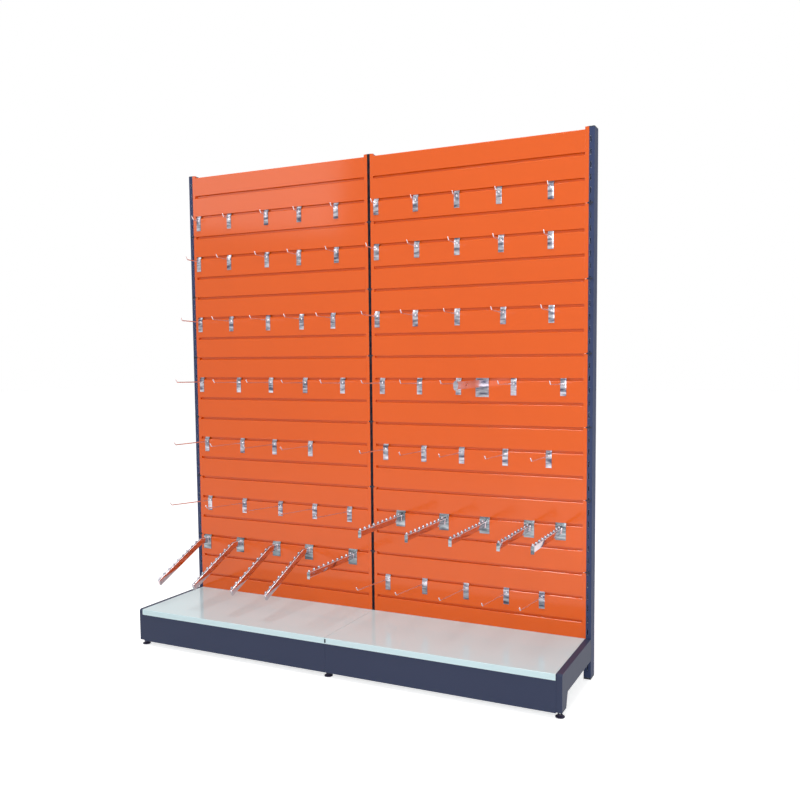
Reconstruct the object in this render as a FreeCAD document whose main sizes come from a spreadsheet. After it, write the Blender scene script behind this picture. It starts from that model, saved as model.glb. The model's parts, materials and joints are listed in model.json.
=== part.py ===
import FreeCAD, Part
import math
import os
import re
import Sketcher

# Two-bay slat-panel tool wall: three slotted uprights on base legs carry folded sheet panels
# whose grooves take sliding hooks, ball arms and a bar arm. A deck and a kick plate close the foot.
# Millimetres, +X to the right, +Y to the back, +Z up, origin on the floor below the box's centre.

document = FreeCAD.newDocument("slat_wall")
sheet = document.addObject("Spreadsheet::Sheet", "sizes")

SIZES = {
    # frame of the whole wall
    "bay_pitch": 1000, "base_height": 150, "groove_pitch": 100,
    "deck_depth": 442, "deck_height": 173,
    # running and seating clearances
    "seat": 0.3, "side_play": 0.5,
    # uprights
    "upright_width": 30, "upright_depth": 60, "upright_wall": 2,
    "slot_width": 4, "slot_height": 24,
    "cap_height": 4, "plug_length": 15, "plug_wall": 2, "foot_plug_height": 8,
    # slat panels
    "panel_gap": 14, "panel_sheet": 1, "margin_width": 16, "margin_sheet": 1.2, "margin_set": 0.8,
    "groove_open": 11, "groove_deep": 12, "lip_thick": 2, "lip_rise": 12, "edge_break": 2.5,
    "ear_gap": 1,
    # panel clips
    "clip_width": 22, "clip_height": 7, "clip_sheet": 1.5, "tongue_width": 3, "tongue_reach": 3,
    # cross rails
    "rail_depth": 25, "rail_height": 50, "rail_wall": 1.5, "rail_plate": 2, "rail_plate_lap": 4,
    "top_rail_drop": 75, "bottom_rail_set": 6,
    # base legs
    "leg_bottom": 25, "leg_wall": 2, "leg_corner": 8, "post_depth": 57, "post_shoulder": 78,
    "arm_below_slot": 7, "foot_plate": 3, "foot_set": 25.5,
    "prong_width": 3, "prong_thick": 3, "prong_rise": 8, "prong_drop": 6,
    # levelling feet
    "pad_radius": 18, "pad_rim": 4, "pad_height": 12, "pad_neck_radius": 10, "socket_depth": 6,
    "stud_radius": 5, "stud_length": 60, "stud_play": 0.3, "nut_across": 17, "nut_height": 8,
    # decks and kick plates
    "deck_centre_gap": 0.8, "deck_end_set": 9, "deck_sheet": 1.2, "lip_height": 25, "lip_return": 11,
    "deck_edge_break": 2, "deck_back_gap": 1, "deck_back_flange": 20, "deck_end_flange": 15,
    "stiffener_width": 60, "stiffener_height": 22,
    "kick_set": 5, "kick_sheet": 1.2, "kick_bottom": 22, "kick_top_gap": 1, "kick_flange": 15,
    # hooks
    "plate_sheet": 2, "plate_drop": 62, "flange_play": 3,
    "hook_plate_width": 25, "wire_thick": 5, "wire_drop": 12, "wire_tip": 18, "tip_angle": 45, "wire_slope": 1,
    "long_wire_slope": 4,
    # ball arms
    "arm_plate_width": 45, "arm_tube_width": 12, "ball_size": 12, "ball_rise": 0.8,
    "level_reach": 390, "level_height": 25, "level_drop": 22.5, "level_ball_pitch": 40, "first_ball": 8,
    "end_plate_width": 14, "end_plate_height": 31, "end_plate_thick": 3,
    "sloped_neck": 55, "sloped_length": 340, "sloped_angle": 24, "sloped_height": 30,
    "sloped_drop": 16, "sloped_ball_pitch": 37,
    # bar arm
    "bar_plate_width": 60, "bar_plate_drop": 70, "bar_width": 15, "bar_height": 30,
    "bar_reach": 300, "bar_drop": 12, "bar_cap_width": 20, "bar_cap_height": 37, "bar_cap_thick": 6,
}
GROOVES_PER_PANEL = 3
PANELS_PER_BAY = 7

for row, (alias, value) in enumerate(SIZES.items(), start=1):
    sheet.set("A%d" % row, alias)
    sheet.set("B%d" % row, str(value))
    sheet.setAlias("B%d" % row, alias)
document.recompute()

# Derived places that several pieces share, as formulas of the sheet's sizes.
FORMULAS = {
    "back_face": "(margin_set + margin_sheet)",
    "slot_pitch": "(groove_pitch / 2)",
    "panel_pitch": "(groove_pitch * %d)" % GROOVES_PER_PANEL,
    "wall_top": "(base_height + groove_pitch * %d)" % (GROOVES_PER_PANEL * PANELS_PER_BAY),
    "first_edge": "(wall_top - groove_open)",
    "slat_length": "(bay_pitch - panel_gap - 2 * margin_width)",
    "low_slot": "(base_height - slot_pitch)",
    "arm_top": "(deck_height - deck_sheet - seat)",
    "arm_bottom": "(low_slot - slot_height / 2 - arm_below_slot)",
    "leg_rear": "(back_face - seat)",
    "kick_face": "(kick_set - deck_depth)",
    "post_face": "(kick_face + kick_sheet + seat)",
    "lip_bottom": "(deck_height - lip_height)",
    "kick_top": "(lip_bottom - kick_top_gap)",
    "deck_length": "(bay_pitch - deck_centre_gap / 2 - deck_end_set)",
    "deck_middle": "(deck_centre_gap / 2 + deck_length / 2)",
    "tray_length": "(deck_length - 2 * (upright_width / 2 + side_play - deck_centre_gap / 2))",
    "wall_plane": "((deck_depth - back_face - upright_depth) / 2)",
    "plate_back": "(0 - seat)",
    "plate_front": "(plate_back - plate_sheet)",
}
WORD = re.compile(r"\b[a-z][a-z_]+\b")
FUNCTIONS = ("sin", "cos", "tan", "floor")


def formula(text):
    """Writes shared places out in full and points every size at its cell in the sheet."""
    def swap(match):
        word = match.group()
        if word in FUNCTIONS:
            return word
        if word in FORMULAS:
            return formula(FORMULAS[word])
        return "sizes." + word
    return WORD.sub(swap, str(text))


def number(text):
    """The present value of a formula, in millimetres."""
    return float(sheet.evalExpression(formula(text)))


# ---------------------------------------------------------------- sketch and feature helpers

def new_body(name):
    return document.addObject("PartDesign::Body", name)


def origin_part(body, role):
    return [part for part in body.Origin.OriginFeatures if part.Role == role][0]


def new_sketch(body, name, plane, offset="0"):
    """An empty sketch on one of the body's own planes, lifted off it by a formula."""
    sketch = body.newObject("Sketcher::SketchObject", name)
    sketch.AttachmentSupport = [(origin_part(body, plane), "")]
    sketch.MapMode = "FlatFace"
    sketch.setExpression(".AttachmentOffset.Base.z", formula(offset))
    return sketch


def pin(sketch, kind, geometry, point, text):
    """Drives one coordinate of a sketch point from a formula."""
    value = number(text)
    if abs(value) < 1e-9 and text == "0":
        axis = -2 if kind == "DistanceX" else -1
        sketch.addConstraint(Sketcher.Constraint("PointOnObject", geometry, point, axis))
        return
    index = sketch.addConstraint(Sketcher.Constraint(kind, -1, 1, geometry, point, value))
    sketch.setExpression("Constraints[%d]" % index, formula(text))


def outline(sketch, corners):
    """A closed outline of straight sides; each corner is a pair of formulas."""
    first = sketch.GeometryCount
    count = len(corners)
    points = [FreeCAD.Vector(number(u), number(v), 0) for u, v in corners]
    for index in range(count):
        side = Part.LineSegment(points[index], points[(index + 1) % count])
        sketch.addGeometry(side, False)
    for index in range(count):
        nearby = first + (index + 1) % count
        sketch.addConstraint(Sketcher.Constraint("Coincident", first + index, 2, nearby, 1))
    for index, (u, v) in enumerate(corners):
        pin(sketch, "DistanceX", first + index, 1, u)
        pin(sketch, "DistanceY", first + index, 1, v)


def block(sketch, low_u, low_v, high_u, high_v):
    outline(sketch, [(low_u, low_v), (high_u, low_v), (high_u, high_v), (low_u, high_v)])


def ring(sketch, centre_u, centre_v, radius):
    """A full circle with its centre and radius driven by formulas."""
    centre = FreeCAD.Vector(number(centre_u), number(centre_v), 0)
    circle = Part.Circle(centre, FreeCAD.Vector(0, 0, 1), number(radius))
    index = sketch.addGeometry(circle, False)
    pin(sketch, "DistanceX", index, 3, centre_u)
    pin(sketch, "DistanceY", index, 3, centre_v)
    size = sketch.addConstraint(Sketcher.Constraint("Radius", index, number(radius)))
    sketch.setExpression("Constraints[%d]" % size, formula(radius))


def pad(body, name, sketch, length, centred=False, reverse=False):
    feature = body.newObject("PartDesign::Pad", name)
    feature.Profile = sketch
    feature.setExpression("Length", formula(length))
    if centred:
        feature.SideType = "Symmetric"
    feature.Reversed = reverse
    return feature


def pocket(body, name, sketch, length, centred=False, reverse=False):
    """A cut that has to take material away, whichever way its sketch faces."""
    feature = body.newObject("PartDesign::Pocket", name)
    feature.Profile = sketch
    feature.setExpression("Length", formula(length))
    if centred:
        feature.SideType = "Symmetric"
    feature.Reversed = reverse
    return feature


def pattern(body, name, features, role, spacing, occurrences, reverse=False):
    """Repeats features along an axis of the body; spacing is one step."""
    feature = body.newObject("PartDesign::LinearPattern", name)
    feature.Originals = features
    feature.Direction = (origin_part(body, role), [""])
    feature.setExpression("Occurrences", formula(occurrences))
    feature.setExpression("Length", formula("(%s) * ((%s) - 1)" % (spacing, occurrences)))
    feature.Reversed = reverse
    body.Tip = feature
    return feature


def mirror(body, name, features, role):
    feature = body.newObject("PartDesign::Mirrored", name)
    feature.Originals = features
    feature.MirrorPlane = (origin_part(body, role), [""])
    body.Tip = feature
    return feature


NODES = []


def put(master, label, across="0", deep="0", high="0"):
    """Places one copy of a master piece; deep counts back from the panels' front plane."""
    link = document.addObject("App::Link", "at_" + label)
    link.LinkedObject = master
    link.setExpression(".Placement.Base.x", formula(across))
    link.setExpression(".Placement.Base.y", formula("wall_plane + (%s)" % deep))
    link.setExpression(".Placement.Base.z", formula(high))
    link.Label = label
    return link


def node(piece):
    NODES.append(piece)


def group(label, links):
    """Several copies that share one node."""
    compound = document.addObject("Part::Compound", label)
    compound.Links = links
    compound.Label = label
    NODES.append(compound)


UPRIGHTS = [("left", "0 - bay_pitch"), ("centre", "0"), ("right", "bay_pitch")]
BAYS = [("left", "0 - bay_pitch / 2"), ("right", "bay_pitch / 2")]


# ---------------------------------------------------------------- slat panels

def make_panel():
    """One folded panel. Z = 0 at its top slat edge, Y = 0 at the slats' front face."""
    body = new_body("slat_panel")
    profile = new_sketch(body, "slat_profile", "YZ_Plane")
    cavity_top = "lip_rise + groove_open - groove_pitch"
    lip_end = "groove_open - groove_pitch"
    outline(profile, [
        ("0", "0 - edge_break"),
        ("edge_break", "0"),
        ("groove_deep + panel_sheet", "0"),
        ("groove_deep + panel_sheet", "0 - panel_sheet"),
        ("edge_break + panel_sheet / 2", "0 - panel_sheet"),
        ("panel_sheet", "0 - edge_break - panel_sheet / 2"),
        ("panel_sheet", cavity_top + " + panel_sheet"),
        ("groove_deep + panel_sheet", cavity_top + " + panel_sheet"),
        ("groove_deep + panel_sheet", "0 - groove_pitch"),
        ("groove_deep", "0 - groove_pitch"),
        ("groove_deep", cavity_top),
        ("lip_thick", cavity_top),
        ("lip_thick", lip_end),
        ("0", lip_end),
    ])
    slat = pad(body, "slat", profile, "slat_length", centred=True)
    pattern(body, "slats", [slat], "Z_Axis", "groove_pitch", str(GROOVES_PER_PANEL), reverse=True)
    ends = new_sketch(body, "end_profile", "XY_Plane", "groove_open - panel_pitch")
    for side in ("", "0 - "):
        web = side + "slat_length / 2"
        bend = side + "(slat_length / 2 + margin_sheet)"
        edge = side + "(slat_length / 2 + margin_width)"
        outline(ends, [
            (web, "0"), (bend, "0"), (bend, "margin_set"), (edge, "margin_set"),
            (edge, "back_face"), (bend, "back_face"),
            (bend, "groove_deep + panel_sheet"), (web, "groove_deep + panel_sheet"),
        ])
    pad(body, "margins", ends, "panel_pitch - ear_gap")
    return body


panel = make_panel()
for side, middle in BAYS:
    for index in range(PANELS_PER_BAY):
        edge = "first_edge - panel_pitch * %d" % index
        node(put(panel, "%s_panel_%d" % (side, index + 1), middle, "0", edge))


# ---------------------------------------------------------------- uprights, caps and plugs

def make_upright():
    """Slotted box section; Y = 0 at its front face."""
    body = new_body("upright")
    tube = new_sketch(body, "tube_section", "XY_Plane", "foot_plug_height")
    half = "upright_width / 2"
    block(tube, "0 - " + half, "0", half, "upright_depth")
    inner = "(upright_width / 2 - upright_wall)"
    block(tube, "0 - " + inner, "upright_wall", inner, "upright_depth - upright_wall")
    pad(body, "tube", tube, "wall_top - cap_height - foot_plug_height")
    slot = new_sketch(body, "slot_outline", "XZ_Plane")
    lowest = "(low_slot - slot_pitch)"
    block(slot, "0 - slot_width / 2", lowest + " - slot_height / 2",
          "slot_width / 2", lowest + " + slot_height / 2")
    cut = pocket(body, "slot_cut", slot, "upright_wall * 2")
    count = "floor((wall_top - upright_width - %s) / slot_pitch) + 1" % lowest
    pattern(body, "slot_row", [cut], "Z_Axis", "slot_pitch", count)
    return body


def make_plug(name, flange, inward):
    """A moulded plug: a flange the size of the tube and a hollow skirt that fits inside it."""
    body = new_body(name)
    top = new_sketch(body, name + "_flange", "XY_Plane")
    block(top, "0 - upright_width / 2", "0", "upright_width / 2", "upright_depth")
    pad(body, name + "_plate", top, flange, reverse=inward)
    skirt = new_sketch(body, name + "_skirt", "XY_Plane")
    inset = "(upright_wall + seat)"
    block(skirt, "%s - upright_width / 2" % inset, inset,
          "upright_width / 2 - " + inset, "upright_depth - " + inset)
    core = "(upright_wall + seat + plug_wall)"
    block(skirt, "%s - upright_width / 2" % core, core,
          "upright_width / 2 - " + core, "upright_depth - " + core)
    pad(body, name + "_wall", skirt, "plug_length", reverse=not inward)
    return body


upright = make_upright()
cap = make_plug("cap", "cap_height", False)
foot_plug = make_plug("foot_plug", "foot_plug_height", True)
for side, across in UPRIGHTS:
    node(put(upright, side + "_upright", across, "back_face"))
group("upright_caps", [put(cap, side + "_cap", across, "back_face", "wall_top - cap_height")
                       for side, across in UPRIGHTS])
group("upright_plugs", [put(foot_plug, side + "_plug", across, "back_face", "foot_plug_height")
                        for side, across in UPRIGHTS])


# ---------------------------------------------------------------- panel clips

def make_clip():
    """A retaining clip; Z = 0 at the panel joint, its tongue rests in a slot."""
    body = new_body("clip")
    front = "0 - seat - clip_sheet + margin_set"
    back = "margin_set - seat"
    lip = new_sketch(body, "clip_lip", "YZ_Plane")
    block(lip, front, "0 - clip_height / 2", back, "clip_height / 2")
    pad(body, "lip", lip, "clip_width", centred=True)
    tongue = new_sketch(body, "clip_tongue", "YZ_Plane")
    tip = "back_face + upright_wall + tongue_reach"
    outline(tongue, [
        (back, "0 - clip_height / 2"), (back, "clip_height / 2"), (tip, "clip_height / 2"),
        (tip, "seat - slot_height / 2"), ("leg_rear", "seat - slot_height / 2"),
        ("leg_rear", "0 - clip_height / 2"),
    ])
    pad(body, "tongue", tongue, "tongue_width", centred=True)
    return body


clip = make_clip()
clips = []
for side, across in UPRIGHTS:
    for index in range(1, PANELS_PER_BAY):
        label = "%s_clip_%d" % (side, index)
        clips.append(put(clip, label, across, "0", "wall_top - panel_pitch * %d" % index))
group("panel_clips", clips)


# ---------------------------------------------------------------- cross rails

def make_rail():
    """A box rail with an end plate on each end; Z = 0 at its top, Y = 0 at its front."""
    body = new_body("rail")
    section = new_sketch(body, "rail_section", "YZ_Plane")
    block(section, "0", "0 - rail_height", "rail_depth", "0")
    block(section, "rail_wall", "rail_wall - rail_height", "rail_depth - rail_wall", "0 - rail_wall")
    clear = "bay_pitch - upright_width"
    pad(body, "tube_of_rail", section, clear, centred=True)
    half = "(%s) / 2" % clear
    plate = new_sketch(body, "rail_plate", "YZ_Plane", "%s - rail_plate" % half)
    block(plate, "0", "0 - rail_height - rail_plate_lap", "rail_depth", "0")
    first = pad(body, "end_plate", plate, "rail_plate")
    mirror(body, "end_plates", [first], "YZ_Plane")
    return body


rail = make_rail()
top_rail_front = "groove_deep + panel_sheet + seat"
group("top_rails", [put(rail, side + "_top_rail", middle, top_rail_front, "wall_top - top_rail_drop")
                    for side, middle in BAYS])
group("bottom_rails", [put(rail, side + "_bottom_rail", middle, "bottom_rail_set",
                           "base_height - groove_open") for side, middle in BAYS])


# ---------------------------------------------------------------- base legs and levelling feet

def make_leg():
    """A folded base leg, open below: front post, arm and two hooked prongs at the back."""
    body = new_body("base_leg")
    side = new_sketch(body, "leg_side", "YZ_Plane")
    outline(side, [
        ("post_face", "leg_bottom"),
        ("post_face", "arm_top - leg_corner"),
        ("post_face + leg_corner / 3", "arm_top - leg_corner / 3"),
        ("post_face + leg_corner", "arm_top"),
        ("plate_back", "arm_top"),
        ("plate_back", "base_height - seat"),
        ("leg_rear", "base_height - seat"),
        ("leg_rear", "arm_bottom"),
        ("post_face + post_shoulder", "arm_bottom"),
        ("post_face + post_depth", "leg_bottom"),
    ])
    pad(body, "leg_block", side, "upright_width", centred=True)
    hollow = new_sketch(body, "leg_hollow", "YZ_Plane")
    below = "arm_bottom - leg_wall"
    outline(hollow, [
        ("post_face + leg_wall", "leg_bottom + foot_plate"),
        ("post_face + leg_wall", "arm_top - leg_corner"),
        ("post_face + leg_corner", "arm_top - leg_wall"),
        ("plate_back - leg_wall", "arm_top - leg_wall"),
        ("plate_back - leg_wall", below),
        ("post_face + post_shoulder + leg_wall", below),
        ("post_face + post_depth + leg_wall", "leg_bottom + foot_plate"),
    ])
    pocket(body, "leg_inside", hollow, "upright_width - 2 * leg_wall", centred=True)
    hole = new_sketch(body, "stud_hole", "XY_Plane", "leg_bottom")
    ring(hole, "0", "post_face + foot_set", "stud_radius + stud_play")
    pocket(body, "stud_bore", hole, "foot_plate", reverse=True)
    prongs = new_sketch(body, "leg_prongs", "YZ_Plane")
    inside = "back_face + upright_wall + seat"
    for slot in ("low_slot", "base_height"):
        floor = slot + " + seat - slot_height / 2"
        outline(prongs, [
            ("plate_back", slot + " + prong_rise"), (inside + " + prong_thick", slot + " + prong_rise"),
            (inside + " + prong_thick", floor + " - prong_drop"), (inside, floor + " - prong_drop"),
            (inside, floor), ("plate_back", floor),
        ])
    pad(body, "prong_plates", prongs, "prong_width", centred=True)
    return body


def turned(name, corners):
    """A body turned about Z from half of its section."""
    body = new_body(name)
    half = new_sketch(body, name + "_section", "XZ_Plane")
    outline(half, corners)
    turn = body.newObject("PartDesign::Revolution", name + "_turn")
    turn.Profile = half
    turn.ReferenceAxis = (half, ["V_Axis"])
    turn.Angle = 360
    return body


def make_nut():
    body = new_body("foot_nut")
    section = new_sketch(body, "nut_section", "XY_Plane")
    across = "(nut_across / 2)"
    corner = "(nut_across / 2 / cos(30))"
    slant = "(nut_across / 4 / cos(30))"
    outline(section, [
        (corner, "0"), (slant, across), ("0 - " + slant, across),
        ("0 - " + corner, "0"), ("0 - " + slant, "0 - " + across), (slant, "0 - " + across),
    ])
    ring(section, "0", "0", "stud_radius + stud_play")
    pad(body, "nut", section, "nut_height")
    return body


leg = make_leg()
foot_pad = turned("foot_pad", [
    ("0", "0"), ("pad_radius", "0"), ("pad_radius", "pad_rim"),
    ("pad_neck_radius", "pad_rim * 2"), ("pad_neck_radius", "pad_height"),
    ("stud_radius + stud_play", "pad_height"),
    ("stud_radius + stud_play", "pad_height - socket_depth"), ("0", "pad_height - socket_depth"),
])
foot_stud = turned("foot_stud", [
    ("0", "0"), ("stud_radius", "0"), ("stud_radius", "stud_length"), ("0", "stud_length"),
])
foot_nut = make_nut()
foot_deep = "post_face + foot_set"
for side, across in UPRIGHTS:
    node(put(leg, side + "_base_leg", across))
    node(put(foot_pad, side + "_foot_pad", across, foot_deep))
    node(put(foot_stud, side + "_foot_stud", across, foot_deep, "pad_height - socket_depth + seat"))
group("foot_nuts", [put(foot_nut, side + "_nut", across, foot_deep, "leg_bottom + foot_plate")
                    for side, across in UPRIGHTS])


# ---------------------------------------------------------------- decks and kick plates

def make_deck():
    """A folded shelf pan: top and front lip, with flanges and a stiffener between the legs."""
    body = new_body("deck")
    front = "(0 - deck_depth)"
    back = "(0 - deck_back_gap)"
    under = "(deck_height - deck_sheet)"
    skin = new_sketch(body, "deck_skin", "YZ_Plane")
    outline(skin, [
        (front, "lip_bottom"),
        (front, "deck_height - deck_edge_break"),
        (front + " + deck_edge_break", "deck_height"),
        (back, "deck_height"),
        (back, under),
        (front + " + deck_edge_break + deck_sheet / 2", under),
        (front + " + deck_sheet", under + " - deck_edge_break + deck_sheet / 2"),
        (front + " + deck_sheet", "lip_bottom"),
    ])
    pad(body, "skin", skin, "deck_length", centred=True)
    folds = new_sketch(body, "deck_folds", "YZ_Plane")
    block(folds, front + " + deck_sheet", "lip_bottom", front + " + lip_return", "lip_bottom + deck_sheet")
    block(folds, back + " - deck_sheet", "deck_height - deck_back_flange", back, under)
    middle = "(0 - deck_depth / 2)"
    inner = "(stiffener_width / 2 - deck_sheet)"
    foot = under + " - stiffener_height"
    outline(folds, [
        (middle + " - stiffener_width / 2", foot), (middle + " + stiffener_width / 2", foot),
        (middle + " + stiffener_width / 2", under), (middle + " + " + inner, under),
        (middle + " + " + inner, foot + " + deck_sheet"), (middle + " - " + inner, foot + " + deck_sheet"),
        (middle + " - " + inner, under), (middle + " - stiffener_width / 2", under),
    ])
    pad(body, "folds", folds, "tray_length", centred=True)
    return body


def make_kick():
    """A kick plate with a rim turned back all round, which pushes in between two legs."""
    body = new_body("kick_plate")
    face = new_sketch(body, "kick_face_outline", "XZ_Plane", "0 - kick_face")
    block(face, "0 - deck_length / 2", "kick_bottom", "deck_length / 2", "kick_top")
    pad(body, "face", face, "kick_sheet", reverse=True)
    rim = new_sketch(body, "kick_rim", "XZ_Plane", "0 - kick_face - kick_sheet")
    half = "(tray_length / 2)"
    block(rim, "0 - " + half, "kick_bottom", half, "kick_top")
    block(rim, "kick_sheet - " + half, "kick_bottom + kick_sheet",
          half + " - kick_sheet", "kick_top - kick_sheet")
    pad(body, "rim", rim, "kick_flange", reverse=True)
    return body


deck = make_deck()
kick = make_kick()
node(put(deck, "left_deck", "0 - deck_middle"))
node(put(deck, "right_deck", "deck_middle"))
node(put(kick, "left_kick_plate", "0 - deck_middle"))
node(put(kick, "right_kick_plate", "deck_middle"))


# ---------------------------------------------------------------- hooks and arms

def add_hanger(body, name, width, drop):
    """The folded plate of every fitting: it hangs on a slat's top edge, Z = 0, and its flange
    stands up behind the lip of the slat above."""
    side = new_sketch(body, name + "_fold", "YZ_Plane")
    inner = "lip_thick + seat"
    outline(side, [
        ("plate_front", "0 - " + drop),
        ("plate_front", "seat + plate_sheet"),
        (inner, "seat + plate_sheet"),
        (inner, "groove_open + lip_rise - flange_play"),
        (inner + " + plate_sheet", "groove_open + lip_rise - flange_play"),
        (inner + " + plate_sheet", "seat"),
        ("plate_back", "seat"),
        ("plate_back", "0 - " + drop),
    ])
    pad(body, name + "_plate", side, width, centred=True)


def make_hook(length, slope):
    """A wire hook of one length: the wire rises by a slope and ends in a turned-up tip."""
    name = "hook_%d" % length
    body = new_body(name)
    add_hanger(body, name, "hook_plate_width", "plate_drop")
    start = "(plate_front + plate_sheet / 2)"
    bend = "(0 - %d + wire_tip * cos(tip_angle))" % length
    rise = "((%s - %s) * tan(%s))" % (start, bend, slope)
    path = new_sketch(body, name + "_path", "YZ_Plane")
    stops = [(start, "0 - wire_drop"), (bend, "%s - wire_drop" % rise),
             ("0 - %d" % length, "%s - wire_drop + wire_tip * sin(tip_angle)" % rise)]
    points = [FreeCAD.Vector(number(u), number(v), 0) for u, v in stops]
    for index in range(2):
        path.addGeometry(Part.LineSegment(points[index], points[index + 1]), False)
    path.addConstraint(Sketcher.Constraint("Coincident", 0, 2, 1, 1))
    for geometry, point, (u, v) in ((0, 1, stops[0]), (0, 2, stops[1]), (1, 2, stops[2])):
        pin(path, "DistanceX", geometry, point, u)
        pin(path, "DistanceY", geometry, point, v)
    section = new_sketch(body, name + "_section", "XZ_Plane", "0 - " + start)
    flat = "(wire_thick / 2)"
    corner = "(wire_thick / 2 / cos(30))"
    slant = "(wire_thick / 4 / cos(30))"
    outline(section, [
        (flat, slant + " - wire_drop"), ("0", corner + " - wire_drop"),
        ("0 - " + flat, slant + " - wire_drop"), ("0 - " + flat, "0 - %s - wire_drop" % slant),
        ("0", "0 - %s - wire_drop" % corner), (flat, "0 - %s - wire_drop" % slant),
    ])
    document.recompute()
    wire = body.newObject("PartDesign::AdditivePipe", name + "_wire")
    wire.Profile = section
    wire.Spine = (path, ["Edge1", "Edge2"])
    wire.Transition = "Right corner"
    return body


def make_level_arm():
    """A level ball arm: hanger, rectangular tube, end plate and a row of balls on top."""
    name = "level_arm"
    body = new_body(name)
    add_hanger(body, name, "arm_plate_width", "plate_drop")
    tube = new_sketch(body, name + "_tube_side", "YZ_Plane")
    top = "(level_height / 2 - level_drop)"
    front = "(end_plate_thick - level_reach)"
    block(tube, front, "0 - level_height / 2 - level_drop", "plate_front", top)
    pad(body, name + "_tube", tube, "arm_tube_width", centred=True)
    end = new_sketch(body, name + "_end_side", "YZ_Plane")
    block(end, "0 - level_reach", "%s - end_plate_height" % top, front, top)
    pad(body, name + "_end", end, "end_plate_width", centred=True)
    # each ball is a four-sided stud, set cornerwise on the tube
    first = "(first_ball - level_reach)"
    half = "(ball_size / 2)"
    studs = new_sketch(body, name + "_ball_section", "XY_Plane", top)
    outline(studs, [
        (half, first), ("0", "%s + %s" % (first, half)),
        ("0 - " + half, first), ("0", "%s - %s" % (first, half)),
    ])
    stud = pad(body, name + "_ball", studs, "ball_size * ball_rise")
    pattern(body, name + "_balls", [stud], "Y_Axis", "level_ball_pitch",
            "floor((level_reach - first_ball - ball_size) / level_ball_pitch) + 1")
    return body


def make_sloped_arm():
    """A ball arm with a short level neck and a long stretch that slopes down."""
    name = "sloped_arm"
    body = new_body(name)
    add_hanger(body, name, "arm_plate_width", "plate_drop")
    tube = new_sketch(body, name + "_tube_side", "YZ_Plane")
    half = "(sloped_height / 2)"
    knee = "(0 - sloped_neck)"
    far = "(0 - sloped_neck - sloped_length * cos(sloped_angle))"
    low = "(sloped_length * sin(sloped_angle))"
    mitre = "(sloped_height / 2 * tan(sloped_angle / 2))"
    lean = "(sloped_height / 2 * sin(sloped_angle))"
    rise = "(sloped_height / 2 * cos(sloped_angle))"
    outline(tube, [
        ("plate_front", half + " - sloped_drop"),
        (knee + " - " + mitre, half + " - sloped_drop"),
        (far + " - " + lean, rise + " - sloped_drop - " + low),
        (far + " + " + lean, "0 - %s - sloped_drop - %s" % (rise, low)),
        (knee + " + " + mitre, "0 - %s - sloped_drop" % half),
        ("plate_front", "0 - %s - sloped_drop" % half),
    ])
    pad(body, name + "_tube", tube, "arm_tube_width", centred=True)
    # the balls are blocks that narrow upward, square to the slope
    side = new_sketch(body, name + "_ball_side", "YZ_Plane")
    count = int(number("floor((sloped_length - ball_size) / sloped_ball_pitch)")) + 1
    for index in range(count):
        along = "(ball_size + %d * sloped_ball_pitch)" % index
        reach = "(sloped_length - %s)" % along
        foot_y = "(0 - sloped_neck - %s - %s * cos(sloped_angle))" % (lean, reach)
        foot_z = "(%s - sloped_drop - %s * sin(sloped_angle))" % (rise, reach)
        across_y = "(ball_size / 2 * cos(sloped_angle))"
        across_z = "(ball_size / 2 * sin(sloped_angle))"
        tall_y = "(ball_size * ball_rise * sin(sloped_angle))"
        tall_z = "(ball_size * ball_rise * cos(sloped_angle))"
        outline(side, [
            ("%s - %s" % (foot_y, across_y), "%s - %s" % (foot_z, across_z)),
            ("%s + %s" % (foot_y, across_y), "%s + %s" % (foot_z, across_z)),
            ("%s + %s / 2 - %s" % (foot_y, across_y, tall_y),
             "%s + %s / 2 + %s" % (foot_z, across_z, tall_z)),
            ("%s - %s / 2 - %s" % (foot_y, across_y, tall_y),
             "%s - %s / 2 + %s" % (foot_z, across_z, tall_z)),
        ])
    pad(body, name + "_balls", side, "ball_size * ball_rise", centred=True)
    return body


def make_bar_arm():
    """A heavy bar arm: wide hanger, rectangular bar and a tall rounded cap on its end."""
    name = "bar_arm"
    body = new_body(name)
    add_hanger(body, name, "bar_plate_width", "bar_plate_drop")
    bar = new_sketch(body, name + "_side", "YZ_Plane")
    block(bar, "bar_cap_thick - bar_reach", "0 - bar_height / 2 - bar_drop",
          "plate_front", "bar_height / 2 - bar_drop")
    pad(body, name + "_bar", bar, "bar_width", centred=True)
    cap_face = new_sketch(body, name + "_cap_face", "XZ_Plane", "bar_reach")
    half = "(bar_cap_width / 2)"
    tall = "(bar_cap_height / 2)"
    flat = "(bar_cap_height / 2 - bar_cap_width / 2)"
    step = "(bar_cap_width / 4)"
    outline(cap_face, [
        (half, "0 - %s - bar_drop" % flat), (half, flat + " - bar_drop"),
        (step, tall + " - bar_drop"), ("0 - " + step, tall + " - bar_drop"),
        ("0 - " + half, flat + " - bar_drop"), ("0 - " + half, "0 - %s - bar_drop" % flat),
        ("0 - " + step, "0 - %s - bar_drop" % tall), (step, "0 - %s - bar_drop" % tall),
    ])
    pad(body, name + "_cap", cap_face, "bar_cap_thick", reverse=True)
    return body


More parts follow.
